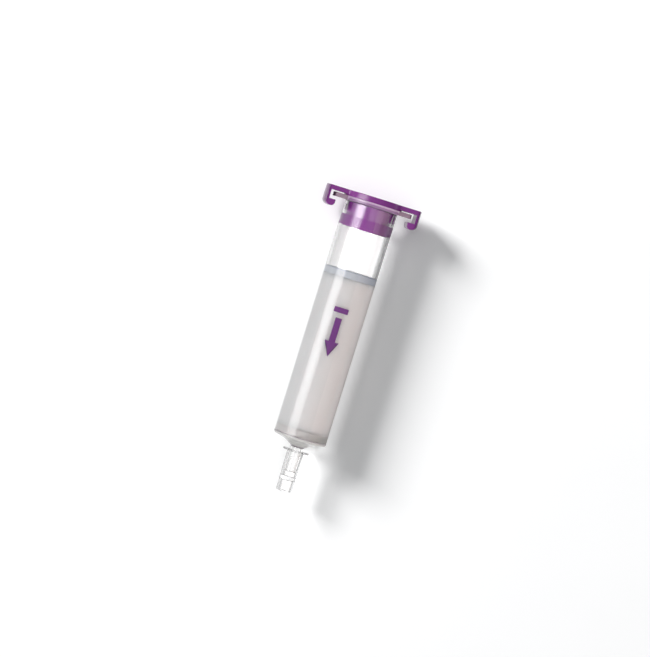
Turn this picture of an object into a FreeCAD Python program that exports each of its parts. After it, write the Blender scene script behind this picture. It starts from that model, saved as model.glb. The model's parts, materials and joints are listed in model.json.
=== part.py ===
import FreeCAD, Part

# Size exclusion chromatography column: a clear syringe-style barrel packed with a resin bed between
# two porous frits, shut by a snap-on cap above and by a slip-on luer cap below.
#
# Every piece is drawn in the column's own frame. Z is the flow axis, Z = 0 is the barrel's mouth and
# the outlet points down. The wings lie along X. One placement, shared by all pieces, then lays the
# column on its side with the cap towards +Y, resting on the cap's disc and on the barrel's corner.

import math
import os
import Sketcher

os.makedirs("parts", exist_ok=True)
doc = FreeCAD.newDocument("chromatography_column")

# Driving dimensions in millimetres. luer_taper is diameter per length.
DRIVING = {
    # barrel: one clear moulding with finger flange, tube, shoulder and male luer tip
    "bore_diameter": 15.8,
    "barrel_wall": 0.8,
    "barrel_length": 79.3,
    "flange_thickness": 1.4,
    "flange_disc_rim": 0.8,
    "flange_wing_reach": 4.45,
    "flange_wing_width": 9.2,
    "flange_neck_fillet": 1.2,
    "flange_corner_fillet": 0.8,
    "flange_root_fillet": 0.35,
    "flange_edge_fillet": 0.2,
    "mouth_chamfer": 0.25,
    "corner_fillet": 0.5,
    "shoulder_drop": 0.8,
    "cone_top_diameter": 10.6,
    "cone_drop": 1.85,
    "cone_blend_fillet": 2.0,
    "tip_root_fillet": 0.5,
    "tip_length": 8.3,
    "tip_end_diameter": 3.95,
    "luer_taper": 0.06,
    "tip_bore_diameter": 2.1,
    "tip_edge_fillet": 0.15,
    "floor_rise": 0.9,
    "ledge_width": 0.7,
    "cone_lift": 1.05,
    # packing: two frits with the resin between them
    "frit_thickness": 2.4,
    "bed_height": 50.6,
    # cap: one coloured moulding with plate, two hooked wings and a hollow plug with a seal ring
    "plate_thickness": 1.45,
    "disc_step": 0.4,
    "cap_disc_overhang": 0.2,
    "cap_wing_overhang": 0.2,
    "cap_neck_fillet": 1.0,
    "hook_clearance": 1.15,
    "hook_wall": 1.6,
    "lip_catch": 1.05,
    "lip_clearance": 1.15,
    "lip_depth": 2.1,
    "hook_outer_fillet": 1.7,
    "lip_fillet": 1.2,
    "cap_edge_fillet": 0.22,
    "neck_top_gap": 0.25,
    "neck_low_gap": 0.65,
    "seal_ring_height": 3.6,
    "seal_clearance": 0.02,
    "plug_depth": 9.4,
    "plug_wall": 1.05,
    "plug_lead_fillet": 0.35,
    # luer cap: one clear moulding, a tapered socket above a web and an open grip below it
    "luer_mouth_gap": 1.25,
    "socket_end_gap": 1.75,
    "socket_clearance": 0.03,
    "socket_wall": 0.58,
    "web_thickness": 1.05,
    "grip_depth": 3.85,
    "grip_bore_diameter": 3.7,
    "grip_wall": 0.75,
    "luer_cap_end_fillet": 0.45,
    "lug_reach": 1.5,
    "lug_width": 3.4,
    "lug_thickness": 0.45,
    "lug_fillet": 0.12,
}

sheet = doc.addObject("Spreadsheet::Sheet", "sizes")
for row, (alias, number) in enumerate(DRIVING.items(), start=1):
    sheet.set(f"A{row}", alias)
    sheet.set(f"B{row}", str(number))
    sheet.setAlias(f"B{row}", alias)
doc.recompute()


class Size:
    """A number worked out from the sheet, with the expression that gives the same number."""

    def __init__(self, value, text):
        self.value = value
        self.text = text

    def __add__(self, other):
        other = as_size(other)
        return Size(self.value + other.value, f"({self.text} + {other.text})")

    def __sub__(self, other):
        other = as_size(other)
        return Size(self.value - other.value, f"({self.text} - {other.text})")

    def __mul__(self, other):
        other = as_size(other)
        return Size(self.value * other.value, f"({self.text} * {other.text})")

    def __truediv__(self, other):
        other = as_size(other)
        return Size(self.value / other.value, f"({self.text} / {other.text})")

    def __neg__(self):
        return Size(-self.value, f"(0 - {self.text})")


def as_size(thing):
    """A plain number as a Size; a Size as it is."""
    return thing if isinstance(thing, Size) else Size(float(thing), repr(float(thing)))


def cell(alias):
    """The driving dimension of that name."""
    return Size(float(sheet.get(alias)), f"sizes.{alias}")


ZERO = as_size(0)
CLEAR = 1.0  # how far a cutting outline runs past the material it cuts
NEAR = 1e-4  # how close an edge has to be to the place where it is looked for

# Barrel radii and levels
bore_radius = cell("bore_diameter") / 2
barrel_radius = bore_radius + cell("barrel_wall")
flange_under = -cell("flange_thickness")
flange_end_radius = barrel_radius + cell("flange_wing_reach")
flange_disc_radius = barrel_radius + cell("flange_disc_rim")
flange_side = cell("flange_wing_width") / 2
corner_level = -cell("barrel_length")
cone_top_radius = cell("cone_top_diameter") / 2
cone_top_level = corner_level - cell("shoulder_drop")
cone_low_level = cone_top_level - cell("cone_drop")
tip_end_level = cone_low_level - cell("tip_length")
tip_end_radius = cell("tip_end_diameter") / 2
taper_per_side = cell("luer_taper") / 2
tip_base_radius = tip_end_radius + cell("tip_length") * taper_per_side
channel_radius = cell("tip_bore_diameter") / 2
floor_level = corner_level + cell("floor_rise")
ledge_radius = bore_radius - cell("ledge_width")
cone_slope = cell("cone_drop") / (cone_top_radius - tip_base_radius)
inner_cone_top = cone_top_level + cell("cone_lift")
inner_cone_low = inner_cone_top - cone_slope * (cone_top_radius - channel_radius)

# Packing levels
lower_frit_top = floor_level + cell("frit_thickness")
bed_top = lower_frit_top + cell("bed_height")
upper_frit_top = bed_top + cell("frit_thickness")

# Cap radii and levels
plate_top = cell("disc_step") + cell("plate_thickness")
cap_disc_radius = flange_disc_radius + cell("cap_disc_overhang")
cap_side = flange_side + cell("cap_wing_overhang")
hook_inner = flange_end_radius + cell("hook_clearance")
cap_end_radius = hook_inner + cell("hook_wall")
lip_tip = flange_end_radius - cell("lip_catch")
lip_top = flange_under - cell("lip_clearance")
hook_end = lip_top - cell("lip_depth")
plug_end = -cell("plug_depth")
ring_top = plug_end + cell("seal_ring_height")
seal_radius = bore_radius - cell("seal_clearance")
neck_top_radius = bore_radius - cell("neck_top_gap")
neck_low_radius = bore_radius - cell("neck_low_gap")
plug_bore_radius = neck_low_radius - cell("plug_wall")

# Luer cap radii and levels
luer_mouth = cone_low_level - cell("luer_mouth_gap")
socket_floor = tip_end_level - cell("socket_end_gap")
tip_radius_at_mouth = tip_base_radius - cell("luer_mouth_gap") * taper_per_side
socket_mouth_radius = tip_radius_at_mouth + cell("socket_clearance")
socket_floor_radius = socket_mouth_radius - (luer_mouth - socket_floor) * taper_per_side
luer_mouth_radius = socket_mouth_radius + cell("socket_wall")
grip_ceiling = socket_floor - cell("web_thickness")
luer_end = grip_ceiling - cell("grip_depth")
grip_radius = cell("grip_bore_diameter") / 2
luer_end_radius = grip_radius + cell("grip_wall")
lug_end_radius = luer_mouth_radius + cell("lug_reach")
lug_under = luer_mouth - cell("lug_thickness")


def new_body(label):
    """A body that becomes one sub-part."""
    body = doc.addObject("PartDesign::Body", label)
    body.Label = label
    return body


def new_sketch(body, name, plane):
    """A sketch on one of the body's own origin planes."""
    sketch = body.newObject("Sketcher::SketchObject", name)
    origin_plane = [f for f in body.Origin.OriginFeatures if f.Role == plane][0]
    sketch.AttachmentSupport = (origin_plane, "")
    sketch.MapMode = "FlatFace"
    return sketch


def bind(sketch, constraint, size):
    """Adds a sized constraint that follows its expression."""
    index = sketch.addConstraint(constraint)
    sketch.setExpression(f"Constraints[{index}]", size.text)


def section(body, name, points):
    """A closed outline of straight sides on the XZ plane, from (across, level) sizes."""
    sketch = new_sketch(body, name, "XZ_Plane")
    spots = [FreeCAD.Vector(across.value, level.value, 0) for across, level in points]
    count = len(spots)
    for i in range(count):
        sketch.addGeometry(Part.LineSegment(spots[i], spots[(i + 1) % count]), False)
    for i in range(count):
        sketch.addConstraint(Sketcher.Constraint("Coincident", i, 2, (i + 1) % count, 1))
    for i, (across, level) in enumerate(points):
        bind(sketch, Sketcher.Constraint("DistanceX", -1, 1, i, 1, across.value), across)
        bind(sketch, Sketcher.Constraint("DistanceY", -1, 1, i, 1, level.value), level)
    return sketch


def turn(body, name, points, kind="PartDesign::Revolution"):
    """Turns a section once round the Z axis, adding to the body or, as a groove, cutting it."""
    sketch = section(body, name + "_section", points)
    feature = body.newObject(kind, name)
    feature.Profile = sketch
    feature.ReferenceAxis = (sketch, ["V_Axis"])
    feature.Angle = 360.0
    doc.recompute()
    return feature


def strip(body, name, points, width):
    """A section stretched along Y to that width, half of it on each side."""
    feature = body.newObject("PartDesign::Pad", name)
    feature.Profile = section(body, name + "_section", points)
    feature.Midplane = True
    feature.setExpression("Length", width.text)
    doc.recompute()
    return feature


def trim_round(body, name, radius):
    """Cuts away all that lies further than that radius from the Z axis."""
    sketch = new_sketch(body, name + "_ring", "XY_Plane")
    for size in (radius, radius + 3 * CLEAR):
        circle = Part.Circle(FreeCAD.Vector(0, 0, 0), FreeCAD.Vector(0, 0, 1), size.value)
        index = sketch.addGeometry(circle, False)
        sketch.addConstraint(Sketcher.Constraint("Coincident", index, 3, -1, 1))
        bind(sketch, Sketcher.Constraint("Radius", index, size.value), size)
    feature = body.newObject("PartDesign::Pocket", name)
    feature.Profile = sketch
    feature.Type = 1
    feature.Midplane = True
    doc.recompute()
    return feature


def ring_at(radius, level):
    """A test for points on a circle round the Z axis."""
    return lambda p: (
        abs(math.hypot(p.x, p.y) - radius.value) <= NEAR and abs(p.z - level.value) <= NEAR
    )


def side_at(side, level):
    """A test for points on the two lines along X at that distance from the axis and that level."""
    return lambda p: abs(abs(p.y) - side.value) <= NEAR and abs(p.z - level.value) <= NEAR


def upright_at(radius, side):
    """A test for points on the four lines along Z where a circle meets the wings' sides."""
    return lambda p: (
        abs(abs(p.y) - side.value) <= NEAR
        and abs(math.hypot(p.x, p.y) - radius.value) <= NEAR
    )


def edges(body, *tests):
    """Names of the edges of the body that lie wholly on one of the places tested for."""
    names = []
    for number, edge in enumerate(body.Shape.Edges, start=1):
        low, high = edge.ParameterRange
        points = [edge.valueAt(low + (high - low) * share) for share in (0.0, 0.3, 0.6, 1.0)]
        if any(all(test(p) for p in points) for test in tests):
            names.append(f"Edge{number}")
    return names


def dress(body, name, names, alias, kind="PartDesign::Fillet"):
    """Rounds or chamfers the named edges of the body by a driving dimension."""
    if not names:
        raise RuntimeError(f"{name} found no edge to work on")
    before = body.Tip
    feature = body.newObject(kind, name)
    feature.Base = (before, names)
    size_name = "Radius" if kind.endswith("Fillet") else "Size"
    feature.setExpression(size_name, cell(alias).text)
    doc.recompute()
    return feature


# Barrel. The flange starts as a strip with rounded ends, the tube and its disc are turned onto it
# and the inside is cut last.
barrel = new_body("barrel")
reach = flange_end_radius + CLEAR
strip(barrel, "flange_wings", [
    (-reach, flange_under),
    (reach, flange_under),
    (reach, ZERO),
    (-reach, ZERO),
], cell("flange_wing_width"))
trim_round(barrel, "flange_ends", flange_end_radius)
turn(barrel, "barrel_outside", [
    (ZERO, ZERO),
    (ZERO, tip_end_level),
    (tip_end_radius, tip_end_level),
    (tip_base_radius, cone_low_level),
    (cone_top_radius, cone_top_level),
    (barrel_radius, corner_level),
    (barrel_radius, flange_under),
    (flange_disc_radius, flange_under),
    (flange_disc_radius, ZERO),
])
turn(barrel, "barrel_inside", [
    (ZERO, as_size(CLEAR)),
    (bore_radius, as_size(CLEAR)),
    (bore_radius, floor_level),
    (ledge_radius, floor_level),
    (cone_top_radius, inner_cone_top),
    (channel_radius, inner_cone_low),
    (channel_radius, tip_end_level - CLEAR),
    (ZERO, tip_end_level - CLEAR),
], "PartDesign::Groove")
dress(barrel, "flange_necks", edges(barrel, upright_at(flange_disc_radius, flange_side)),
      "flange_neck_fillet")
dress(barrel, "flange_corners", edges(barrel, upright_at(flange_end_radius, flange_side)),
      "flange_corner_fillet")
dress(barrel, "flange_root", edges(barrel, ring_at(barrel_radius, flange_under)),
      "flange_root_fillet")
dress(barrel, "flange_rims", edges(
    barrel,
    ring_at(flange_end_radius, ZERO),
    ring_at(flange_disc_radius, ZERO),
    side_at(flange_side, ZERO),
    ring_at(flange_end_radius, flange_under),
    ring_at(flange_disc_radius, flange_under),
    side_at(flange_side, flange_under),
), "flange_edge_fillet")
dress(barrel, "mouth_lead", edges(barrel, ring_at(bore_radius, ZERO)), "mouth_chamfer",
      "PartDesign::Chamfer")
dress(barrel, "lower_corner", edges(barrel, ring_at(barrel_radius, corner_level)),
      "corner_fillet")
dress(barrel, "cone_blend", edges(barrel, ring_at(cone_top_radius, cone_top_level)),
      "cone_blend_fillet")
dress(barrel, "tip_root", edges(barrel, ring_at(tip_base_radius, cone_low_level)),
      "tip_root_fillet")
dress(barrel, "tip_edge", edges(barrel, ring_at(tip_end_radius, tip_end_level)),
      "tip_edge_fillet")


def packed_disc(label, low, high):
    """A plain disc that fills the bore between two levels."""
    body = new_body(label)
    turn(body, label + "_turned", [
        (ZERO, low),
        (bore_radius, low),
        (bore_radius, high),
        (ZERO, high),
    ])
    return body


# Packing, from the outlet up: buffer in the cone and the tip, frit on the ledge, bed, frit
outlet_buffer = new_body("outlet_buffer")
turn(outlet_buffer, "outlet_turned", [
    (ZERO, tip_end_level),
    (channel_radius, tip_end_level),
    (channel_radius, inner_cone_low),
    (cone_top_radius, inner_cone_top),
    (ledge_radius, floor_level),
    (ZERO, floor_level),
])
lower_frit = packed_disc("lower_frit", floor_level, lower_frit_top)
resin_bed = packed_disc("resin_bed", lower_frit_top, bed_top)
upper_frit = packed_disc("upper_frit", bed_top, upper_frit_top)

# Cap. Plate and hooks are one strip, trimmed to rounded ends, and the disc and plug are turned on.
top_cap = new_body("top_cap")
reach = cap_end_radius + CLEAR
strip(top_cap, "wings_and_hooks", [
    (-reach, hook_end),
    (-lip_tip, hook_end),
    (-lip_tip, lip_top),
    (-hook_inner, lip_top),
    (-hook_inner, cell("disc_step")),
    (hook_inner, cell("disc_step")),
    (hook_inner, lip_top),
    (lip_tip, lip_top),
    (lip_tip, hook_end),
    (reach, hook_end),
    (reach, plate_top),
    (-reach, plate_top),
], cap_side * 2)
trim_round(top_cap, "wing_ends", cap_end_radius)
turn(top_cap, "disc_and_plug", [
    (ZERO, ZERO),
    (plug_bore_radius, ZERO),
    (plug_bore_radius, plug_end),
    (seal_radius, plug_end),
    (seal_radius, ring_top),
    (neck_low_radius, ring_top),
    (neck_top_radius, ZERO),
    (cap_disc_radius, ZERO),
    (cap_disc_radius, plate_top),
    (ZERO, plate_top),
])
dress(top_cap, "wing_necks", edges(top_cap, upright_at(cap_disc_radius, cap_side)),
      "cap_neck_fillet")
dress(top_cap, "hook_backs", edges(top_cap, ring_at(cap_end_radius, hook_end)),
      "hook_outer_fillet")


def lip_edge(p):
    """Whether a point lies on the inner lower edge of a hook's lip."""
    return abs(abs(p.x) - lip_tip.value) <= NEAR and abs(p.z - hook_end.value) <= NEAR


dress(top_cap, "lip_leads", edges(top_cap, lip_edge), "lip_fillet")


def hook_outline(p):
    """Whether a point lies on the outer outline of a hook's side faces, below the plate's top."""
    on_side_face = abs(abs(p.y) - cap_side.value) <= NEAR
    inside = abs(p.x) < hook_inner.value + NEAR and p.z > lip_top.value - NEAR
    below_top = p.z < plate_top.value - NEAR or abs(p.x) > hook_inner.value
    return on_side_face and below_top and not inside


soft = edges(top_cap, hook_outline,
             ring_at(cap_end_radius, plate_top), ring_at(cap_disc_radius, plate_top),
             side_at(cap_side, plate_top))
dress(top_cap, "soft_edges", soft, "cap_edge_fillet")
dress(top_cap, "plug_lead", edges(top_cap, ring_at(seal_radius, plug_end)), "plug_lead_fillet")

# Luer cap. The lugs are a strip with rounded ends, the body is turned onto it and then hollowed.
luer_cap = new_body("luer_cap")
reach = lug_end_radius + CLEAR
strip(luer_cap, "lugs", [
    (-reach, lug_under),
    (reach, lug_under),
    (reach, luer_mouth),
    (-reach, luer_mouth),
], cell("lug_width"))
trim_round(luer_cap, "lug_ends", lug_end_radius)
dress(luer_cap, "lug_edges", edges(
    luer_cap,
    ring_at(lug_end_radius, luer_mouth),
    ring_at(lug_end_radius, lug_under),
    upright_at(lug_end_radius, cell("lug_width") / 2),
), "lug_fillet")
turn(luer_cap, "luer_cap_outside", [
    (ZERO, luer_end),
    (luer_end_radius, luer_end),
    (luer_mouth_radius, luer_mouth),
    (ZERO, luer_mouth),
])
turn(luer_cap, "luer_socket", [
    (ZERO, socket_floor),
    (socket_floor_radius, socket_floor),
    (socket_mouth_radius, luer_mouth),
    (socket_mouth_radius, luer_mouth + CLEAR),
    (ZERO, luer_mouth + CLEAR),
], "PartDesign::Groove")
turn(luer_cap, "luer_grip", [
    (ZERO, luer_end - CLEAR),
    (grip_radius, luer_end - CLEAR),
    (grip_radius, grip_ceiling),
    (ZERO, grip_ceiling),
], "PartDesign::Groove")
dress(luer_cap, "luer_cap_end", edges(luer_cap, ring_at(luer_end_radius, luer_end)),
      "luer_cap_end_fillet")

pieces = [barrel, lower_frit, resin_bed, upper_frit, outlet_buffer, top_cap, luer_cap]

# Rest. The column lies on the edge of the cap's disc and on the rounded corner at the barrel's foot,
# so its axis climbs a little towards the cap.
shoulder_slope = math.atan2(
    cell("shoulder_drop").value, barrel_radius.value - cone_top_radius.value)
corner_round = cell("corner_fillet").value
corner_centre = corner_level.value + corner_round * math.tan((math.pi / 2 - shoulder_slope) / 2)
overhang = cap_disc_radius.value - barrel_radius.value + corner_round
rest_tilt = (math.acos(corner_round / math.hypot(overhang, corner_centre))
             - math.atan2(-corner_centre, overhang))
lay_down = FreeCAD.Rotation(FreeCAD.Vector(1, 0, 0), math.degrees(rest_tilt) - 90)
lift = cap_disc_radius.value * math.cos(rest_tilt)

# The origin is under the middle of the whole column
lying = Part.makeCompound([
    piece.Shape.transformed(lay_down.toMatrix(), True) for piece in pieces
])
box = lying.optimalBoundingBox(False)
middle = FreeCAD.Vector(-(box.XMin + box.XMax) / 2, -(box.YMin + box.YMax) / 2, lift)
for piece in pieces:
    piece.Placement = FreeCAD.Placement(middle, lay_down)
doc.recompute()

for thing in doc.Objects:
    if "Invalid" in thing.State or "Error" in thing.State:
        raise RuntimeError(f"{thing.Label} did not build: {thing.State}")
for piece in pieces:
    shape = piece.Shape
    if shape.isNull() or not shape.isValid() or len(shape.Solids) != 1:
        raise RuntimeError(f"{piece.Label} is not one valid solid")
    shape.exportStep(f"parts/{piece.Label}.step")
    print(piece.Label, len(shape.Faces), "faces", round(shape.Volume, 1), "mm3")
print("tilt", round(math.degrees(rest_tilt), 4), "deg, mouth centre at",
      [round(v, 4) for v in middle])
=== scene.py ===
# %% [markdown]
# # A size exclusion chromatography column
# This lesson dresses a imported CAD model for a studio picture. The column is a clear
# syringe-style barrel with a pale gel bed between two porous frits. A purple cap with hooked
# wings shuts the top, and a small clear cap sits on the luer tip. Almost everything here is
# clear plastic, so the picture is made by refraction and by what the plastic reflects. The
# surfaces are therefore worked out with their exact normals, and the studio is built round
# them. First the imported CAD frame is loaded.

# %% The imported frame
import json
import math
import bmesh
import bpy
import numpy as np
from mathutils import Matrix, Vector


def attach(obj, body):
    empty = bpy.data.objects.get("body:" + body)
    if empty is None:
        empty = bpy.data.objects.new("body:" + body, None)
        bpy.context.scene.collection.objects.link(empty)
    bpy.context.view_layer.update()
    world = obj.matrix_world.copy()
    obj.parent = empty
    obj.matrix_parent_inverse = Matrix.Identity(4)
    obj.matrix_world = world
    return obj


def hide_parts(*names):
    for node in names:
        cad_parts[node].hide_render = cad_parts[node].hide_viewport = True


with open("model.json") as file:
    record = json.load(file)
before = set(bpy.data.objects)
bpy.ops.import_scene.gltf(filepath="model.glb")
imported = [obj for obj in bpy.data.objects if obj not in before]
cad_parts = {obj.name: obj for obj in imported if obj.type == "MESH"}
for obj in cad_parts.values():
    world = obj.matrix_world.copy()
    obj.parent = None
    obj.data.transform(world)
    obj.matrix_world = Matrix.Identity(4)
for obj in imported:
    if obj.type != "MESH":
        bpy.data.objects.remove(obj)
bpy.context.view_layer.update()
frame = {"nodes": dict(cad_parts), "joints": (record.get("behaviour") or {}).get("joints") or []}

# %% [markdown]
# The column lies on its side and its axis climbs a little towards the cap. Its own frame is
# easier to think in: Z runs along the flow axis, zero is the barrel's mouth, the outlet points
# down and the wings lie along X. The cap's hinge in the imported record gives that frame, because
# it stands at the mouth and turns about the flow axis. All sizes below are in millimetres in
# this frame.

# %% From the column's own frame to the row's
MM = 0.001
hinge = next(joint for joint in frame["joints"] if joint["name"] == "top_cap_twist")
mouth = np.array(hinge["pos_m"])
flow = np.array(hinge["axis"]) / np.linalg.norm(hinge["axis"])
wing = np.array([1.0, 0.0, 0.0])
depth = np.cross(flow, wing)
AXES = np.stack([wing, depth, flow])


def to_row(points):
    """Points in the column's frame, in mm, as points of the row frame: the mouth plus the point
    times the axes."""
    return mouth + (np.asarray(points) * MM) @ AXES


print("mouth of the barrel:", mouth.round(5), "flow axis:", flow.round(4))

# %% [markdown]
# ## Turned surfaces
# Barrels, caps, frits and beds are bodies of revolution. A profile is drawn once beside the
# axis as corners, each with the radius of its rounding, and every point of it also keeps its
# tangent. Where a line meets an arc the tangent is known exactly, so the normals are exact too,
# and clear plastic shows no ripples where a smooth average would leave some.

# %% Profiles with rounded corners


def rounded_profile(corners, radii, closed, arc_steps=6):
    """A polyline whose corners are replaced by arcs. An arc of radius r starts r * tan(turn / 2)
    before its corner. Returns the points and their unit tangents."""
    corners = np.asarray(corners, float)
    count = len(corners)
    points, tangents = [], []
    for i, radius in enumerate(radii):
        here = corners[i]
        if not closed and i in (0, count - 1):
            other = corners[1] if i == 0 else corners[i - 1]
            way = (other - here) if i == 0 else (here - other)
            points.append(here[None])
            tangents.append((way / np.linalg.norm(way))[None])
            continue
        come = here - corners[i - 1]
        leave = corners[(i + 1) % count] - here
        come /= np.linalg.norm(come)
        leave /= np.linalg.norm(leave)
        turn = math.atan2(come[0] * leave[1] - come[1] * leave[0], float(come @ leave))
        back = radius * math.tan(abs(turn) / 2)
        side = np.array([-come[1], come[0]]) * math.copysign(1, turn)
        centre = here - come * back + side * radius
        angle = np.linspace(0, turn, arc_steps + 1)
        cos, sin = np.cos(angle)[:, None], np.sin(angle)[:, None]
        across = np.array([-come[1], come[0]])
        heading = come * cos + across * sin
        outward = -side * cos + come * sin * math.copysign(1, turn)
        points.append(centre + outward * radius)
        tangents.append(heading)
    return np.concatenate(points), np.concatenate(tangents)


# %% [markdown]
# The flange and the lugs aren't round, but each direction from the axis still meets their rim
# once. So they are turned surfaces too, with a radius that depends on the angle: the larger of
# a disc and a parallel-sided wing. Smooth versions of larger and smaller round the corners off,
# as the mould does.

# %% Winged outlines


def smooth_larger(a, b, width):
    """The larger of a and b. Where they differ by less than width it is their mix, from b to a,
    plus width times the share times one less the share."""
    mix = np.clip(0.5 + 0.5 * (a - b) / width, 0, 1)
    return b + (a - b) * mix + width * mix * (1 - mix)


def smooth_smaller(a, b, width):
    """The smaller of a and b, blended in the same way: minus the smooth larger of -a and -b."""
    return -smooth_larger(-a, -b, width)


def winged_radius(angle, disc, end, half_width, blend):
    """How far the rim is from the axis: the larger of the disc and of a wing, whose own radius is
    the smaller of its end arc and half its width over the sine of the angle."""
    side = half_width / np.maximum(np.abs(np.sin(angle)), 1e-3)
    return smooth_larger(np.full_like(angle, disc), smooth_smaller(side, end, blend), blend)


def even_angles(count):
    """So many angles round the axis, from 0 to one step short of two pi."""
    return np.linspace(0, 2 * np.pi, count, endpoint=False)


def angles_for(half_width, end, count=300, extra=20):
    """Even angles round the axis, with extra ones near the four corners of the wings. A corner's
    angle is the arc sine of half the wing's width over the radius of its end."""
    even = even_angles(count)
    corner = math.asin(half_width / end)
    near = corner + np.linspace(-0.09, 0.16, extra)
    more = np.concatenate([near, np.pi - near, np.pi + near, 2 * np.pi - near])
    return np.unique(np.round(np.concatenate([even, more]) % (2 * np.pi), 5))


# %% [markdown]
# One function makes every turned piece. The grid is angle by profile. Where the profile is
# closed it joins on to itself, as on the barrel, and otherwise it starts and ends on the axis,
# where all the points of a row are one point. Normals are the cross product of the two
# directions of the grid.

# %% The turned piece


def mesh_from(name, points, faces, normals=None):
    """A mesh object from row-frame points, faces and, where given, one normal for each point."""
    mesh = bpy.data.meshes.new(name)
    mesh.from_pydata(points.tolist(), [], faces)
    mesh.polygons.foreach_set("use_smooth", np.ones(len(mesh.polygons), bool))
    if normals is not None:
        mesh.normals_split_custom_set_from_vertices(normals.tolist())
    mesh.update()
    piece = bpy.data.objects.new(name, mesh)
    bpy.context.scene.collection.objects.link(piece)
    return piece


def turned_piece(name, profile, angle, closed, stretch=None):
    """Carries a profile round the axis: x = R cos(angle), y = R sin(angle), z = level, where R is
    the profile's radius plus stretch(angle, radius, level). The profile runs so that the piece
    is on its left, which turns the faces outwards."""
    points, tangents = profile
    radius, level = points[:, 0][None], points[:, 1][None]
    turn = angle[:, None]

    def place(turn):
        reach = radius + (stretch(turn, radius, level) if stretch else 0)
        return np.stack([reach * np.cos(turn), reach * np.sin(turn),
                         level + 0 * turn], axis=-1)

    spot = place(turn)
    step = 1e-4
    around = (place(turn + step) - place(turn - step)) / (2 * step)
    along = np.stack([tangents[:, 0] * np.cos(turn), tangents[:, 0] * np.sin(turn),
                      tangents[:, 1] + 0 * turn], axis=-1)
    normal = np.cross(around, along)
    size = np.linalg.norm(normal, axis=-1, keepdims=True)
    if not closed:
        pole = np.zeros_like(normal)
        pole[:, 0, 2] = -np.sign(points[1, 0]) * np.sign(tangents[0, 0])
        pole[:, -1, 2] = -np.sign(tangents[-1, 0])
        normal = np.where(size < 1e-9, pole, normal)
        size = np.linalg.norm(normal, axis=-1, keepdims=True)
    normal = normal / np.maximum(size, 1e-12)

    turns, rows = spot.shape[:2]
    number = np.arange(turns * rows).reshape(turns, rows)
    if not closed:
        number[:, 0] = number[0, 0]
        number[:, -1] = number[0, -1]
    used, again = np.unique(number, return_inverse=True)
    number = again.reshape(turns, rows)
    after = np.roll(number, -1, axis=0)
    if closed:
        quads = np.stack([number, after, np.roll(after, -1, axis=1),
                          np.roll(number, -1, axis=1)], axis=-1)
        faces = quads.reshape(-1, 4).tolist()
    else:
        inner = np.stack([number[:, 1:-2], after[:, 1:-2], after[:, 2:-1],
                          number[:, 2:-1]], axis=-1)
        first = np.stack([number[:, 0], after[:, 1], number[:, 1]], axis=-1)
        last = np.stack([number[:, -2], after[:, -2], number[:, -1]], axis=-1)
        faces = inner.reshape(-1, 4).tolist() + first.tolist() + last.tolist()
    flat = to_row(spot.reshape(-1, 3)[used])
    return mesh_from(name, flat, faces, normal.reshape(-1, 3)[used] @ AXES)


print("turned surfaces ready")


# %% [markdown]
# ## The sizes of the column
# The visual pieces repeat the sizes of the CAD pieces, so they lie exactly where those are.

# %% Sizes in millimetres
BORE = 7.9
TUBE = 8.7
FLANGE_UNDER = -1.4
FLANGE_DISC, FLANGE_END, FLANGE_SIDE = 9.5, 13.15, 4.6
CORNER = -79.3
CONE_TOP, CONE_TOP_LEVEL = 5.3, -80.1
TIP_BASE, CONE_LOW_LEVEL = 2.224, -81.95
TIP_END, TIP_END_LEVEL = 1.975, -90.25
CHANNEL = 1.05
FLOOR_LEVEL, LEDGE = -78.4, 7.2
INNER_CONE_TOP, INNER_CONE_LOW = -79.05, -81.606
LOWER_FRIT_TOP, BED_TOP, UPPER_FRIT_TOP = -76.0, -25.4, -23.0
WETTING = 0.02

# %% [markdown]
# ## The barrel
# The real barrel is one clear injection moulding: finger flange, tube, shoulder, cone and luer
# tip. Here it is one closed turned surface, and its flange is stretched out to the winged
# outline. Every corner has a small radius, as a mould gives it, and each of them draws a thin
# grey or white line in the clear plastic.

# %% Build the barrel
barrel_corners = [
    (CHANNEL, TIP_END_LEVEL), (TIP_END, TIP_END_LEVEL), (TIP_BASE, CONE_LOW_LEVEL),
    (CONE_TOP, CONE_TOP_LEVEL), (TUBE, CORNER), (TUBE, FLANGE_UNDER),
    (FLANGE_DISC, FLANGE_UNDER), (FLANGE_DISC, 0.0), (BORE + 0.2, 0.0), (BORE, -0.2),
    (BORE, FLOOR_LEVEL), (LEDGE, FLOOR_LEVEL), (CONE_TOP, INNER_CONE_TOP),
    (CHANNEL, INNER_CONE_LOW),
]
barrel_radii = [0.05, 0.15, 0.5, 2.0, 0.5, 0.35, 0.2, 0.2, 0.06, 0.06, 0.05, 0.05, 0.3, 0.3]


def flange_stretch(turn, radius, level):
    """Nothing on the tube, and in the flange the whole step from disc to winged outline."""
    outline = winged_radius(turn, FLANGE_DISC, FLANGE_END, FLANGE_SIDE, 0.5) - FLANGE_DISC
    share = np.clip((radius - 9.05) / 0.25, 0, 1) * (level > FLANGE_UNDER - 0.01)
    return outline * share


barrel = turned_piece("barrel_shell",
                      rounded_profile(barrel_corners, barrel_radii, closed=True),
                      angles_for(FLANGE_SIDE, FLANGE_END), closed=True, stretch=flange_stretch)
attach(barrel, "column")
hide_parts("barrel")
print("barrel faces:", len(barrel.data.polygons))

# %% [markdown]
# ## The packing
# Frits and bed are wet and press against the bore, with no air between. That is why the real
# bed looks as wide as the whole barrel: the wall works as a lens. The pieces below reach two
# hundredths of a millimetre into the wall, so that a ray coming through the plastic meets them
# and not a film of air.

# %% Discs and plugs in the bore


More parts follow.
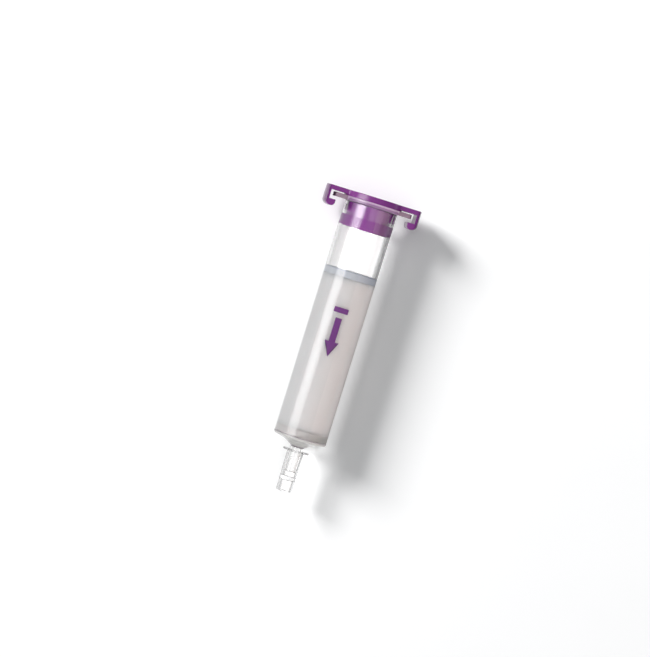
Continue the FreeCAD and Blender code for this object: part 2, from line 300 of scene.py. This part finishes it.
def packed_piece(name, low, high, round_over, node):
    """A disc or plug that wets the bore from one level to another: its radius is the bore's plus
    the wetting."""
    reach = BORE + WETTING
    corners = [(0, low), (reach, low), (reach, high), (0, high)]
    profile = rounded_profile(corners, [0, round_over, round_over, 0], closed=False)
    piece = turned_piece(name, profile, even_angles(256), closed=False)
    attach(piece, "column")
    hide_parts(node)
    return piece


upper_frit = packed_piece("upper_frit_disc", BED_TOP, UPPER_FRIT_TOP, 0.12, "upper_frit")
bed = packed_piece("gel_bed", LOWER_FRIT_TOP, BED_TOP, 0.02, "resin_bed")
lower_frit = packed_piece("lower_frit_disc", FLOOR_LEVEL - 2 * WETTING, LOWER_FRIT_TOP, 0.02,
                          "lower_frit")
print("packed pieces:", [piece.name for piece in (upper_frit, bed, lower_frit)])

# %% [markdown]
# The space below the lower frit is full of liquid: a wide shallow cone and the channel of the
# tip.

# %% The liquid in the outlet
outlet_corners = [
    (0, TIP_END_LEVEL), (CHANNEL + WETTING, TIP_END_LEVEL),
    (CHANNEL + WETTING, INNER_CONE_LOW), (CONE_TOP, INNER_CONE_TOP - WETTING),
    (LEDGE, FLOOR_LEVEL - WETTING), (0, FLOOR_LEVEL - WETTING),
]
outlet = turned_piece("outlet_liquid",
                      rounded_profile(outlet_corners, [0, 0.05, 0.3, 0.3, 0.03, 0], closed=False),
                      even_angles(128), closed=False)
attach(outlet, "column")
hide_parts("outlet_buffer")
print("liquid faces:", len(outlet.data.polygons))

# %% [markdown]
# ## The luer cap
# A thin clear moulding: a tapered socket above a web, an open grip below it, and two lugs at
# the mouth. It is turned like the barrel, with the lugs as a winged outline.

# %% Build the luer cap
LUER_MOUTH, LUER_END = -83.2, -96.9
SOCKET_MOUTH, SOCKET_FLOOR, SOCKET_FLOOR_LEVEL = 2.2165, 1.951, -92.0
LUER_WALL, LUER_FOOT = 2.7965, 2.6
GRIP, GRIP_CEILING = 1.85, -93.05
LUG_END, LUG_SIDE, LUG_UNDER = 4.2965, 1.7, -83.65
luer_corners = [
    (0, GRIP_CEILING), (GRIP, GRIP_CEILING), (GRIP, LUER_END), (LUER_FOOT, LUER_END),
    (LUER_WALL, LUG_UNDER), (LUER_WALL + 0.3, LUG_UNDER), (LUER_WALL + 0.3, LUER_MOUTH),
    (SOCKET_MOUTH, LUER_MOUTH), (SOCKET_FLOOR, SOCKET_FLOOR_LEVEL), (0, SOCKET_FLOOR_LEVEL),
]
luer_radii = [0, 0.2, 0.12, 0.45, 0.05, 0.1, 0.1, 0.08, 0.2, 0]


def lug_stretch(turn, radius, level):
    """In the rim at the mouth, the step from the round wall out to the lugs' outline."""
    rim = LUER_WALL + 0.3
    outline = winged_radius(turn, LUER_WALL + 0.02, LUG_END, LUG_SIDE, 0.25) - rim
    share = np.clip((radius - LUER_WALL - 0.05) / 0.15, 0, 1) * (level > LUG_UNDER - 0.01)
    return outline * share


luer_cap = turned_piece("luer_cap_shell",
                        rounded_profile(luer_corners, luer_radii, closed=False),
                        angles_for(LUG_SIDE, LUG_END, 220), closed=False, stretch=lug_stretch)
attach(luer_cap, "luer_cap")
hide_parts("luer_cap")
print("luer cap faces:", len(luer_cap.data.polygons))

# %% [markdown]
# ## The top cap
# The cap's hooks reach round the flange wings, so it is no turned surface. Its CAD solid
# already has the right shape, with rounded backs and soft edges, so a copy of that mesh is
# used. Its loose triangles are merged and weighted normals keep the flat faces flat. The seal
# ring is pressed into the bore on the real cap, so the copy's ring is let out until it wets the
# wall.

# %% A merged copy of a CAD mesh


def merged_copy(node, name):
    """A copy of a CAD node's mesh, its doubled points merged and its edges marked by angle."""
    mesh = frame["nodes"][node].data.copy()
    mesh.name = name
    work = bmesh.new()
    work.from_mesh(mesh)
    bmesh.ops.remove_doubles(work, verts=work.verts, dist=1e-6)
    work.to_mesh(mesh)
    work.free()
    if mesh.has_custom_normals:
        mesh.attributes.remove(mesh.attributes["custom_normal"])
    mesh.materials.clear()
    mesh.polygons.foreach_set("use_smooth", np.ones(len(mesh.polygons), bool))
    mesh.set_sharp_from_angle(angle=math.radians(30))
    piece = bpy.data.objects.new(name, mesh)
    bpy.context.scene.collection.objects.link(piece)
    return piece


top_cap = merged_copy("top_cap", "snap_cap")
print("cap triangles:", len(top_cap.data.polygons))

# %% [markdown]
# The points of the ring are those near its radius and below its top. They move out in
# proportion.

# %% Let the seal ring out
SEAL, SEAL_LET_OUT, SEAL_TOP = 7.88, 7.92, -5.8
spots = np.empty(len(top_cap.data.vertices) * 3, np.float32)
top_cap.data.vertices.foreach_get("co", spots)
own = (spots.reshape(-1, 3) - mouth) @ AXES.T / MM
radius = np.hypot(own[:, 0], own[:, 1])
on_ring = (radius > SEAL - 0.4) & (radius < SEAL + 0.01) & (own[:, 2] < SEAL_TOP + 0.01)
let_out = np.where(on_ring, SEAL_LET_OUT / SEAL, 1.0)
own[:, :2] *= let_out[:, None]
top_cap.data.vertices.foreach_set("co", to_row(own).astype(np.float32).ravel())
even = top_cap.modifiers.new("even_normals", "WEIGHTED_NORMAL")
even.keep_sharp = True
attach(top_cap, "top_cap")
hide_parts("top_cap")
print("cap points:", len(own), "of them on the seal ring:", int(on_ring.sum()))

# %% [markdown]
# ## The flow arrow on the barrel
# A plain purple arrow on the tube points to the outlet and has a bar across its tail. Ink is a
# skin a few hundredths of a millimetre thick, so each shape is a thin closed sleeve wrapped on
# the tube: its half width is a function of the place along the axis, and its cross-section runs
# out over the ink and back under it.

# %% Wrap the ink on the tube
INK_MIDDLE = -0.3 / TUBE - math.pi / 2
INK_OUT, INK_IN = TUBE + 0.03, TUBE - 0.01
INK_STEPS = 16


def ink_shape(level, half_width):
    """A printed shape from its levels and its half width at each. The angle from its middle line
    is the half width over the tube's radius."""
    level, half_width = np.asarray(level, float), np.asarray(half_width, float)
    across = np.linspace(-1, 1, INK_STEPS + 1)
    loop = np.concatenate([across, across[::-1]])
    reach = np.repeat([INK_OUT, INK_IN], INK_STEPS + 1)
    angle = INK_MIDDLE + loop[None] * half_width[:, None] / TUBE
    points = np.stack([reach * np.cos(angle), reach * np.sin(angle),
                       level[:, None] + 0 * angle], axis=-1)
    rows, around = angle.shape
    number = np.arange(rows * around).reshape(rows, around)
    after = np.roll(number, -1, axis=1)
    skin = np.stack([number[:-1], after[:-1], after[1:], number[1:]], axis=-1).reshape(-1, 4)
    over = np.arange(INK_STEPS)
    under = 2 * INK_STEPS + 1 - over
    end = np.stack([over, over + 1, under - 1, under], axis=-1)
    ends = np.concatenate([end[:, ::-1], end + (rows - 1) * around])
    return to_row(points.reshape(-1, 3)), np.concatenate([skin, ends])


def ink_piece(name, shapes):
    """Joins printed shapes, each a pair of levels and half widths, into one piece and turns all
    faces outwards."""
    offset, points, faces = 0, [], []
    for level, half_width in shapes:
        spot, face = ink_shape(level, half_width)
        points.append(spot)
        faces.append(face + offset)
        offset += len(spot)
    piece = mesh_from(name, np.concatenate(points), np.concatenate(faces).tolist())
    work = bmesh.new()
    work.from_mesh(piece.data)
    bmesh.ops.recalc_face_normals(work, faces=work.faces)
    work.to_mesh(piece.data)
    work.free()
    piece.data.set_sharp_from_angle(angle=math.radians(40))
    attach(piece, "column")
    return piece


arrow = ([-38.2, -46.0, -46.001, -50.9], [1.05, 1.05, 2.35, 0.03])
tail_bar = ([-34.8, -36.5], [2.35, 2.35])
ink = ink_piece("printed_flow_arrow", [arrow, tail_bar])
print("ink faces:", len(ink.data.polygons))

# %% [markdown]
# ## Shader maths
# A material is a small network of nodes. To keep it readable, a socket is wrapped in a class
# whose operators add Math nodes, so a formula can be written as a formula. Every other node
# comes from one method, which sets the node's settings first and its sockets after them.

# %% Numbers with operators


class Wire:
    """A number that runs through a material. Sums and products of wires add Math nodes."""

    def __init__(self, network, socket):
        self.network = network
        self.socket = socket

    def maths(self, operation, *values):
        """A Math node with this operation."""
        return self.network.node("ShaderNodeMath", {"operation": operation}, *values)

    def __add__(self, other):
        return self.maths("ADD", self, other)

    __radd__ = __add__

    def __sub__(self, other):
        return self.maths("SUBTRACT", self, other)

    def __rsub__(self, other):
        return self.maths("SUBTRACT", other, self)

    def __mul__(self, other):
        return self.maths("MULTIPLY", self, other)

    __rmul__ = __mul__

    def __pow__(self, other):
        return self.maths("POWER", self, other)


class Network:
    """A node tree under construction, of a material or of a lamp."""

    def __init__(self, tree):
        self.tree = tree

    def node(self, kind, settings, *values, output=0, **named):
        """Adds a node, applies its settings, then fills its sockets in order or by name."""
        made = self.tree.nodes.new(kind)
        for key, value in settings.items():
            setattr(made, key, value)
        sockets = [(made.inputs[i], value) for i, value in enumerate(values)]
        sockets += [(made.inputs[key.replace("_", " ")], value) for key, value in named.items()]
        for socket, value in sockets:
            if isinstance(value, Wire):
                self.tree.links.new(value.socket, socket)
            else:
                socket.default_value = value
        return Wire(self, made.outputs[output])

    def step(self, value, start, end):
        """A smooth step from 0 at start to 1 at end: 3 t^2 - 2 t^3, with t the share of the
        way."""
        return self.node("ShaderNodeMapRange", {"interpolation_type": "SMOOTHSTEP"},
                         value, start, end, 0.0, 1.0)


print("numbers and steps ready")

# %% [markdown]
# A finish is such a network round one Principled shader. Places in it are measured along the
# axes of the column, from Object coordinates, so a colour stays on its piece when the piece
# moves.

# %% Finishes


class Finish(Network):
    """A material under construction round one Principled shader."""

    def __init__(self, name, constants):
        self.material = bpy.data.materials.new(name)
        self.material.use_nodes = True
        super().__init__(self.material.node_tree)
        self.shader = self.tree.nodes["Principled BSDF"]
        for socket, value in constants.items():
            self.shader.inputs[socket].default_value = value

    def place(self, scale=(1, 1, 1)):
        """Object coordinates in metres, stretched by a scale."""
        coordinates = self.node("ShaderNodeTexCoord", {}, output=3)
        return self.node("ShaderNodeMapping", {}, coordinates, Scale=scale)

    def along(self, axis):
        """How far a point lies along one of the column's axes, in millimetres from the mouth:
        the dot product of its place and the axis, less that of the mouth."""
        reach = self.node("ShaderNodeVectorMath", {"operation": "DOT_PRODUCT"},
                          self.place(), tuple(axis), output=1)
        return (reach - float(mouth @ axis)) * (1 / MM)

    def off_axis(self):
        """The distance from the column's axis in millimetres: the root of the sum of the squares
        of the distances along the wings and along the depth."""
        return (self.along(AXES[0]) ** 2.0 + self.along(AXES[1]) ** 2.0) ** 0.5

    def noise(self, place, scale, detail=2.0, rough=0.5):
        """Smooth noise from 0 to 1 with so many waves to the metre."""
        return self.node("ShaderNodeTexNoise", {}, Vector=place, Scale=scale, Detail=detail,
                         Roughness=rough)

    def mix(self, share, first, second):
        """A colour between two colours."""
        made = self.tree.nodes.new("ShaderNodeMix")
        made.data_type = "RGBA"
        for index, value in ((0, share), (6, first), (7, second)):
            if isinstance(value, Wire):
                self.tree.links.new(value.socket, made.inputs[index])
            else:
                made.inputs[index].default_value = value
        return Wire(self, made.outputs[2])

    def bump(self, height, distance, strength=1.0):
        """A Bump node's normal, with the height's full step in metres."""
        return self.node("ShaderNodeBump", {}, Strength=strength, Distance=distance, Height=height)

    def blend(self, share, other):
        """Mixes another shader into the surface: share 0 is the first shader, 1 the other."""
        own = Wire(self, self.shader.outputs[0])
        mixed = self.node("ShaderNodeMixShader", {}, share, own, other)
        self.tree.links.new(mixed.socket, self.tree.nodes["Material Output"].inputs["Surface"])

    def feed(self, **wires):
        """Links wires to the shader's sockets."""
        for key, wire in wires.items():
            self.tree.links.new(wire.socket, self.shader.inputs[key.replace("_", " ")])
        return self.material


print("finishes ready")

# %% [markdown]
# ## Clear plastic
# Barrel and luer cap are a clear, slightly soft plastic with a refractive index near 1.49. A
# moulding is never optically flat: broad shallow waves from the mould bend what is seen through
# it, and handling leaves it a little duller in patches. Both come from noise stretched along
# the axis, because that is how the plastic flowed. Clear plastic is painted grey where it is
# seen at a slant. Part of that grey comes from the longer way through the plastic there. Most of
# it is painted shade that draws the grey edges of clear mouldings. Layer Weight knows that slant,
# so it mixes the tint. Where a moulding is thick or matt, a milky shader is mixed in.

# %% Clear plastics


def clear_plastic(name, edge_tint_and_painted_shade, dullness, wave, frost):
    """A transmitting shader. Its tint goes from white, seen straight on, to the given grey at the
    rim, and that grey is partly painted shade along the edges.
    Roughness is dullness times 0.5 to 1.5, and wave is the height of its waves in metres. frost
    gives how strong the tint is, and the share and the colour of the milky body."""
    finish = Finish(name, {"IOR": 1.49, "Transmission Weight": 1.0})
    place = finish.place((1, 0.25, 1))
    patches = finish.noise(place, 260.0)
    waves = finish.noise(place, 420.0, detail=1.0)
    slant = finish.node("ShaderNodeLayerWeight", {}, Blend=0.5, output=1)
    strength, milkiness, milk = frost(finish)
    # the tint at a slant is partly painted shade that draws the edges
    finish.feed(Base_Color=finish.mix(slant * strength, (1, 1, 1, 1), edge_tint_and_painted_shade),
                Roughness=dullness * 0.5 + patches * dullness, Normal=finish.bump(waves, wave))
    body = finish.node("ShaderNodeBsdfPrincipled", {}, Roughness=0.25, Base_Color=milk)
    finish.blend(milkiness, body)
    return finish.material


print("clear plastic ready")

# %% [markdown]
# Each clear moulding has its own frost. On the barrel it follows the level along the axis: the
# foot is matt, and the flange is painted with a reflection of the purple cap that lies on it.

# %% Frost on the flange, the foot and the lugs


def barrel_frost(finish):
    """The bore's dry part gets more of the tint, so it has more painted shade at its edges. The
    flange's milky colour is a painted reflection of the purple cap above it, with a painted
    highlight along its upper edge, and its wings are greyer. The shoulder and the cone are a pale
    grey."""
    level = finish.along(AXES[2])
    dry = finish.step(level, -24.0, -22.9)
    flange = finish.step(level, -1.6, -1.3)
    foot = finish.step(level, -78.2, -78.8) - finish.step(level, -81.4, -82.2)
    # painted reflection of the purple cap, with a painted highlight along the flange's upper edge
    rim = finish.mix(finish.step(level, -0.8, -0.3), (0.3, 0.17, 0.32, 1), (0.62, 0.44, 0.64, 1))
    flange_painted_reflection = finish.mix(finish.step(finish.off_axis(), 9.55, 9.9), rim, (0.27, 0.175, 0.24, 1))
    milk = finish.mix(foot, flange_painted_reflection, (0.58, 0.575, 0.56, 1))
    return dry * 0.45 + 0.65, flange * 0.75 + foot * 0.7, milk


def lug_frost(finish):
    """The luer cap's two thin lugs are grey, and the rest of it is clear."""
    return 1.0, finish.step(finish.off_axis(), 3.0, 3.3) * 0.5, (0.4, 0.4, 0.41, 1)


barrel.data.materials.append(clear_plastic(
    "clear barrel plastic", (0.5, 0.5, 0.5, 1), 0.04, 0.00001, barrel_frost))
luer_cap.data.materials.append(clear_plastic(
    "clear luer cap plastic", (0.08, 0.08, 0.08, 1), 0.08, 0.000001, lug_frost))
print("dressed:", barrel.name, luer_cap.name)

# %% [markdown]
# The liquid below the lower frit is cloudy with fine gel in the wide cone and clear in the
# narrow channel. Two shaders are mixed by the level along the axis, between 82 and 81.2 mm
# below the mouth.

# %% Cloudy buffer
liquid = Finish("buffer, cloudy in the cone", {"Base Color": (1, 1, 1, 1), "IOR": 1.333,
                                               "Transmission Weight": 1.0, "Roughness": 0.0})
swirl = liquid.noise(liquid.place(), 600.0, detail=3.0)
milk = liquid.node("ShaderNodeBsdfPrincipled", {}, Roughness=0.5, Subsurface_Weight=1.0,
                   Subsurface_Radius=(1, 1, 0.95), Subsurface_Scale=0.002,
                   Base_Color=liquid.mix(swirl, (0.93, 0.93, 0.91, 1), (0.86, 0.86, 0.84, 1)))
liquid.blend(liquid.step(liquid.along(AXES[2]), -82.0, -81.2), milk)
outlet.data.materials.append(liquid.material)
print("dressed:", outlet.name)

# %% [markdown]
# ## The gel bed and its frits
# The bed is a mass of wet gel beads a tenth of a millimetre across. Light goes a few
# millimetres into it and comes out again, which evens out its shading, so it gets subsurface
# scattering. A grain of beads and slow clouds from the packing vary its grey. Frits are
# sintered plastic: coarser grains, a cooler grey, darker round the upper frit's top edge, and
# painted shade on their right side.

# %% Grains packed together


def packed_grains(name, light, dark, grain, reach, shade):
    """Two greys, mixed by half of the fine grains plus 0.8 of the slow clouds less 0.15, with a
    bump from the grains. Light goes reach metres deep. shade gives a third colour and the
    share of it."""
    finish = Finish(name, {"Subsurface Weight": 1.0, "Subsurface Radius": (1.0, 0.95, 0.95),
                           "Subsurface Scale": reach, "Specular IOR Level": 0.1})
    grains = finish.noise(finish.place(), grain, detail=1.0)
    clouds = finish.noise(finish.place((1, 0.4, 1)), 120.0, detail=3.0)
    colour = finish.mix(grains * 0.5 + clouds * 0.8 - 0.15, light, dark)
    other, share = shade(finish)
    return finish.feed(Base_Color=finish.mix(share, colour, other), Roughness=grains * 0.1 + 0.5,
                       Normal=finish.bump(grains, 0.00002))


print("packed grains ready")

# %% [markdown]
# The third colours follow the level along the axis and the place along the wings, which is
# the place from left to right in the picture. On the frits they darken the right side, which is
# painted shade away from the key lamp on the left. On the bed, the neutral grey on the left is
# painted light.

# %% Bed and frits


def dark_rim_and_painted_shade(finish):
    """The upper frit is darker round its top edge, over half a millimetre of height and depth,
    and darker to the right, which is painted shade away from the key lamp."""
    level, across = finish.along(AXES[2]), finish.along(AXES[0])
    rim = finish.step(level, -23.5, -23.05) * finish.step(finish.off_axis(), 7.2, 7.8)
    # share of the dark colour: the top edge, plus painted shade to the right
    return (0.3, 0.36, 0.46, 1), rim * 0.5 + finish.step(across, -2.0, 8.5) * 0.6


def painted_shade_on_lower_frit(finish):
    """The lower frit is darker to the right, painted shade away from the key lamp, and only
    towards its foot: the product of the two steps."""
    across, level = finish.along(AXES[0]), finish.along(AXES[2])
    # painted shade: darker to the right and towards the foot
    return (0.5, 0.5, 0.48, 1), finish.step(across, -4.0, 8.0) * finish.step(level, -75.5, -77.0)


def frit_grey_and_painted_left(finish):
    """The gel just below the upper frit has a little of the frit's cooler grey. The gel on the
    left is painted a neutral grey, which is painted light: the warm tint of the fill lamp shows
    only on the right. Two shares a and b together are a + b - a * b."""
    near = finish.step(finish.along(AXES[2]), -27.2, -25.4) * 0.7
    # painted light: the left side is kept a neutral grey
    left = finish.step(finish.along(AXES[0]), 3.0, -6.0) * 0.8
    colour = finish.mix(near, (0.885, 0.885, 0.89, 1), (0.74, 0.76, 0.79, 1))
    return colour, left + near - left * near


bed.data.materials.append(packed_grains(
    "wet gel bed", (0.89, 0.865, 0.86, 1), (0.84, 0.815, 0.81, 1), 9000.0, 0.0025, frit_grey_and_painted_left))
upper_frit.data.materials.append(packed_grains(
    "upper frit, blue-grey", (0.83, 0.855, 0.9, 1), (0.72, 0.755, 0.81, 1), 3500.0, 0.0005,
    dark_rim_and_painted_shade))
lower_frit.data.materials.append(packed_grains(
    "lower frit, grey", (0.86, 0.835, 0.83, 1), (0.79, 0.765, 0.76, 1), 3500.0, 0.0005,
    painted_shade_on_lower_frit))
print("dressed:", bed.name, upper_frit.name, lower_frit.name)

# %% [markdown]
# ## Purple plastic and ink
# The cap is a coloured polyolefin, glossy but not mirror-like. Its gloss varies a little, the
# colour hardly at all, and a very fine bump stands for the texture of the mould. The plug is
# lit through the clear wall round it, and path tracing hardly finds such light, so its colour
# stands in for it. The ink is the same purple, darker and duller.

# %% Coloured plastic


def coloured_plastic(name, deep, bright, dullness, texture, shade=None):
    """Two near colours mixed by slow noise. Roughness is dullness plus 0.12 times the same noise
    less a half, and texture is the height of a fine bump in metres. shade may give a third
    colour and the share of it."""
    finish = Finish(name, {"IOR": 1.49, "Specular IOR Level": 0.5})
    clouds = finish.noise(finish.place(), 150.0)
    fine = finish.noise(finish.place(), 5000.0, detail=1.0)
    colour = finish.mix(clouds, deep, bright)
    if shade:
        other, share = shade(finish)
        colour = finish.mix(share, colour, other)
    return finish.feed(Base_Color=colour, Roughness=dullness + (clouds - 0.5) * 0.12,
                       Normal=finish.bump(fine, texture))


print("coloured plastic ready")

# %% Cap and ink


def painted_plug_light_and_hook_shade(finish):
    """The plug in the bore is painted with light and shade: brighter than the lid on the side of
    the key lamp and darker on the other. The ends of the hooks, where the square of the place
    along the wings goes from 190 to 232, are darker too: painted shade."""
    across, level = finish.along(AXES[0]), finish.along(AXES[2])
    painted_shade_side = finish.step(across, -1.0, 6.5)
    inside = finish.step(level, 0.0, -0.3) * finish.step(finish.off_axis(), 8.5, 8.1)
    # lit and shaded copies of the purple: painted light and painted shade
    plug = finish.mix(painted_shade_side, (0.36, 0.055, 0.42, 1), (0.2, 0.03, 0.23, 1))
    # painted shade on the ends of the hooks
    ends = finish.step(across * across, 190.0, 232.0)
    return finish.mix(ends, plug, (0.12, 0.02, 0.13, 1)), inside + ends * 0.9


top_cap.data.materials.append(coloured_plastic(
    "purple cap plastic", (0.25, 0.046, 0.275, 1), (0.285, 0.053, 0.31, 1), 0.2, 0.000004,
    painted_plug_light_and_hook_shade))
ink.data.materials.append(coloured_plastic(
    "purple ink", (0.11, 0.02, 0.15, 1), (0.135, 0.026, 0.18, 1), 0.4, 0.000002))
print("materials:", [m.name for m in bpy.data.materials])

# %% [markdown]
# ## The floor
# The photograph looks straight down on the column lying on a white sweep. Clear plastic gathers
# light on the floor behind and beside it. Path tracing hardly finds such light, so the floor
# glows faintly there: behind the dry bore, along the barrel's right wall, beside the neck,
# below the tip, and beside the flange.

# %% Floor
FLOOR_HALF = 1.5
floor_corners = FLOOR_HALF * np.array([(-1, -1, 0), (1, -1, 0), (1, 1, 0), (-1, 1, 0)])
floor = mesh_from("studio_floor", floor_corners, [(0, 1, 2, 3)])
floor_finish = Finish("white studio floor", {"Roughness": 0.8, "Specular IOR Level": 0.1,
                                            "Emission Strength": 1.0})
cloud = floor_finish.noise(floor_finish.place(), 30.0)
across, level = floor_finish.along(AXES[0]), floor_finish.along(AXES[2])


def patch(glow, left, right, start, end):
    """A soft-edged patch of the floor: its glow times a step up and a step down on each axis.
    Each side is the pair of places between which it fades, in millimetres."""
    side = floor_finish.step(across, *left) * floor_finish.step(across, right[1], right[0])
    reach = floor_finish.step(level, *start) * floor_finish.step(level, end[1], end[0])
    return side * reach * glow


behind_bore = patch(0.85, (-5.5, -1.5), (8.3, 10.7), (-25.0, -22.0), (-10.0, -4.0))
beside_wall = patch(0.38, (7.0, 8.5), (8.6, 15.0), (-84.5, -80.0), (-12.0, -4.0))
beside_neck = patch(0.3, (0.0, 3.0), (6.0, 9.0), (-90.0, -86.0), (-82.5, -79.0))
below_tip = patch(0.7, (0.0, 3.0), (6.0, 19.0), (-115.0, -99.0), (-90.0, -78.0))
beside_flange = patch(0.5, (7.0, 8.5), (10.5, 16.0), (-9.5, -5.0), (-1.5, -0.5))
glow = behind_bore + beside_wall + beside_neck + below_tip + beside_flange
whites = floor_finish.mix(cloud, (0.93, 0.93, 0.93, 1), (0.91, 0.91, 0.91, 1))
floor_finish.feed(Base_Color=whites,
                  Emission_Color=floor_finish.mix(glow, (0, 0, 0, 1), (1, 1, 1, 1)))
floor.data.materials.append(floor_finish.material)
print("floor is", 2 * FLOOR_HALF, "m wide")

# %% [markdown]
# ## The lamps
# Every lamp is a rectangular soft box that faces the column. In a cylinder of radius r a lamp
# seen at an angle a from straight up shows where the surface leans by a / 2, at r * sin(a / 2)
# from the middle. The photo's tall highlight runs from 2.3 to 4.8 mm left of the middle of a
# tube of 8.7 mm radius, so the key lamp reaches from 31 to 67 degrees to the left, between the
# middles of its two faded sides.

# %% Soft boxes


def soft_box(name, lean, turn, distance, width, length, radiance, colour=(1, 1, 1), rim=0.0):
    """A rectangular light that faces the column. lean is its angle from straight up, in degrees,
    positive to the right, and turn swings that lean from the side towards the cap. A flat
    diffuse light of radiance L and area A gives pi * A * L watts. rim is the share of each side
    over which the light fades smoothly, as the cloth of a soft box does."""
    data = bpy.data.lights.new(name, "AREA")
    data.shape = "RECTANGLE"
    data.size, data.size_y = width, length
    data.energy = radiance * math.pi * width * length
    data.color = colour
    if rim:
        data.use_nodes = True
        cloth = Network(data.node_tree)
        spot = cloth.node("ShaderNodeNewGeometry", {}, output=5)
        split = cloth.node("ShaderNodeSeparateXYZ", {}, spot)
        sides = [Wire(cloth, split.socket.node.outputs[i]) for i in (0, 1)]
        glow = 1.0
        for side in sides:
            glow = glow * cloth.step(side, 0.0, rim) * cloth.step(side, 1.0, 1.0 - rim)
        emission = data.node_tree.nodes["Emission"]
        data.node_tree.links.new(glow.socket, emission.inputs["Strength"])
    light = bpy.data.objects.new(name, data)
    light.visible_camera = False
    bpy.context.scene.collection.objects.link(light)
    light.matrix_world = (Matrix.Rotation(math.radians(turn), 4, "Z")
                          @ Matrix.Rotation(math.radians(lean), 4, "Y")
                          @ Matrix.Translation((0, 0, distance)))
    return light


print("soft boxes ready")

# %% [markdown]
# Light linking decides which pieces a lamp reaches. The floor has a lamp of its own, far to the
# left and small, which draws the one long soft shadow. The others skip the floor, so they add
# no shadows to it, but for a weak lamp straight overhead. Those that would wash out the purple
# of the cap skip the cap as well.

# %% What the lamps reach


def listed(name, pieces, state):
    """A collection that a light reads: the pieces it reaches or skips."""
    group = bpy.data.collections.new(name)
    for piece in pieces:
        group.objects.link(piece)
    for entry in group.collection_objects:
        entry.light_linking.link_state = state
    return group


floor_only = listed("floor_only", [floor], "INCLUDE")
all_but_floor = listed("all_but_floor", [floor], "EXCLUDE")
all_but_cap = listed("all_but_floor_and_cap", [floor, top_cap], "EXCLUDE")
all_but_packing = listed("all_but_floor_and_packing",
                         [floor, top_cap, bed, lower_frit, upper_frit], "EXCLUDE")
print("groups for the lamps:", [group.name for group in bpy.data.collections])

# %% [markdown]
# The key lamp draws the highlight, and a dim one beyond it softens the highlight's left side. A
# warmer fill stands on the right and a broad lamp above. The foot lamp reaches the matt faces
# that look away from the cap. The two broad lamps above are kept out of reflections, where they
# would show as a second highlight.

# %% Lamps
key = soft_box("key_left", -49.0, 0.0, 1.4, 1.5, 0.75, 8.2, rim=0.4)
beyond_key = soft_box("side_left", -76.0, 0.0, 1.4, 0.9, 0.75, 1.2, rim=0.35)
fill = soft_box("fill_right", 60.0, 0.0, 1.2, 1.39, 0.9, 0.85, (1.0, 0.8, 0.73))
above = soft_box("top_light", 30.0, 0.0, 1.5, 2.0, 2.0, 0.95, (1.0, 0.94, 0.92))
low = soft_box("foot_light", 60.0, -90.0, 1.2, 0.9, 0.9, 1.8)
sweep = soft_box("floor_light", -60.0, -24.0, 2.5, 0.8, 0.8, 45.0)
overhead = soft_box("overhead", 0.0, 0.0, 1.5, 2.0, 2.0, 0.7)
for lamp, reached in ((key, all_but_floor), (beyond_key, all_but_cap), (fill, all_but_cap),
                      (above, all_but_cap), (low, all_but_packing), (sweep, floor_only)):
    lamp.light_linking.receiver_collection = reached
for lamp in (above, overhead):
    lamp.visible_glossy = False
world = bpy.data.worlds.new("studio air")
world.use_nodes = True
world.node_tree.nodes["Background"].inputs["Color"].default_value = (0.95, 0.97, 1.0, 1)
world.node_tree.nodes["Background"].inputs["Strength"].default_value = 0.2
bpy.context.scene.world = world
bpy.context.scene.view_settings.view_transform = "Standard"
print("lamps:", [lamp.name for lamp in (key, beyond_key, fill, above, low, sweep, overhead)])

# %% [markdown]
# ## Camera
# The picture is 650 by 657 pixels and shows 3.11 pixels to the millimetre from 80 cm. The
# column leans 17.2 degrees to the right in it, so the camera is turned by that much, and it
# stands a little to the left, because the photograph shows more of the left hook's back. It
# aims so that the middle of the column comes to its place in the photograph.

# %% Camera
WIDE, HIGH = 650, 657
SCALE = 3.112
DISTANCE = 0.8
LEAN, SIDE, NOD = math.radians(17.2), math.radians(5.5), math.radians(1.5)
MIDDLE_ACROSS, MIDDLE_DOWN = 328.9, 344.6
centre = Vector(to_row([0, 0, -47.55]))
back = Vector((-math.sin(SIDE), math.sin(NOD), math.cos(SIDE))).normalized()
up = Vector((-math.sin(LEAN), math.cos(LEAN), 0))
up = (up - back * up.dot(back)).normalized()
right = up.cross(back)
aim = centre + (right * (WIDE / 2 - MIDDLE_ACROSS) + up * (MIDDLE_DOWN - HIGH / 2)) * (MM / SCALE)
camera_data = bpy.data.cameras.new("camera")
camera_data.sensor_width = 36.0
camera_data.lens = SCALE * DISTANCE / MM * camera_data.sensor_width / HIGH
camera = bpy.data.objects.new("camera", camera_data)
camera.matrix_world = Matrix.Translation(aim + back * DISTANCE) @ Matrix(
    (right, up, back)).transposed().to_4x4()
bpy.context.scene.collection.objects.link(camera)
bpy.context.scene.camera = camera
print("lens in mm:", round(camera_data.lens, 1))
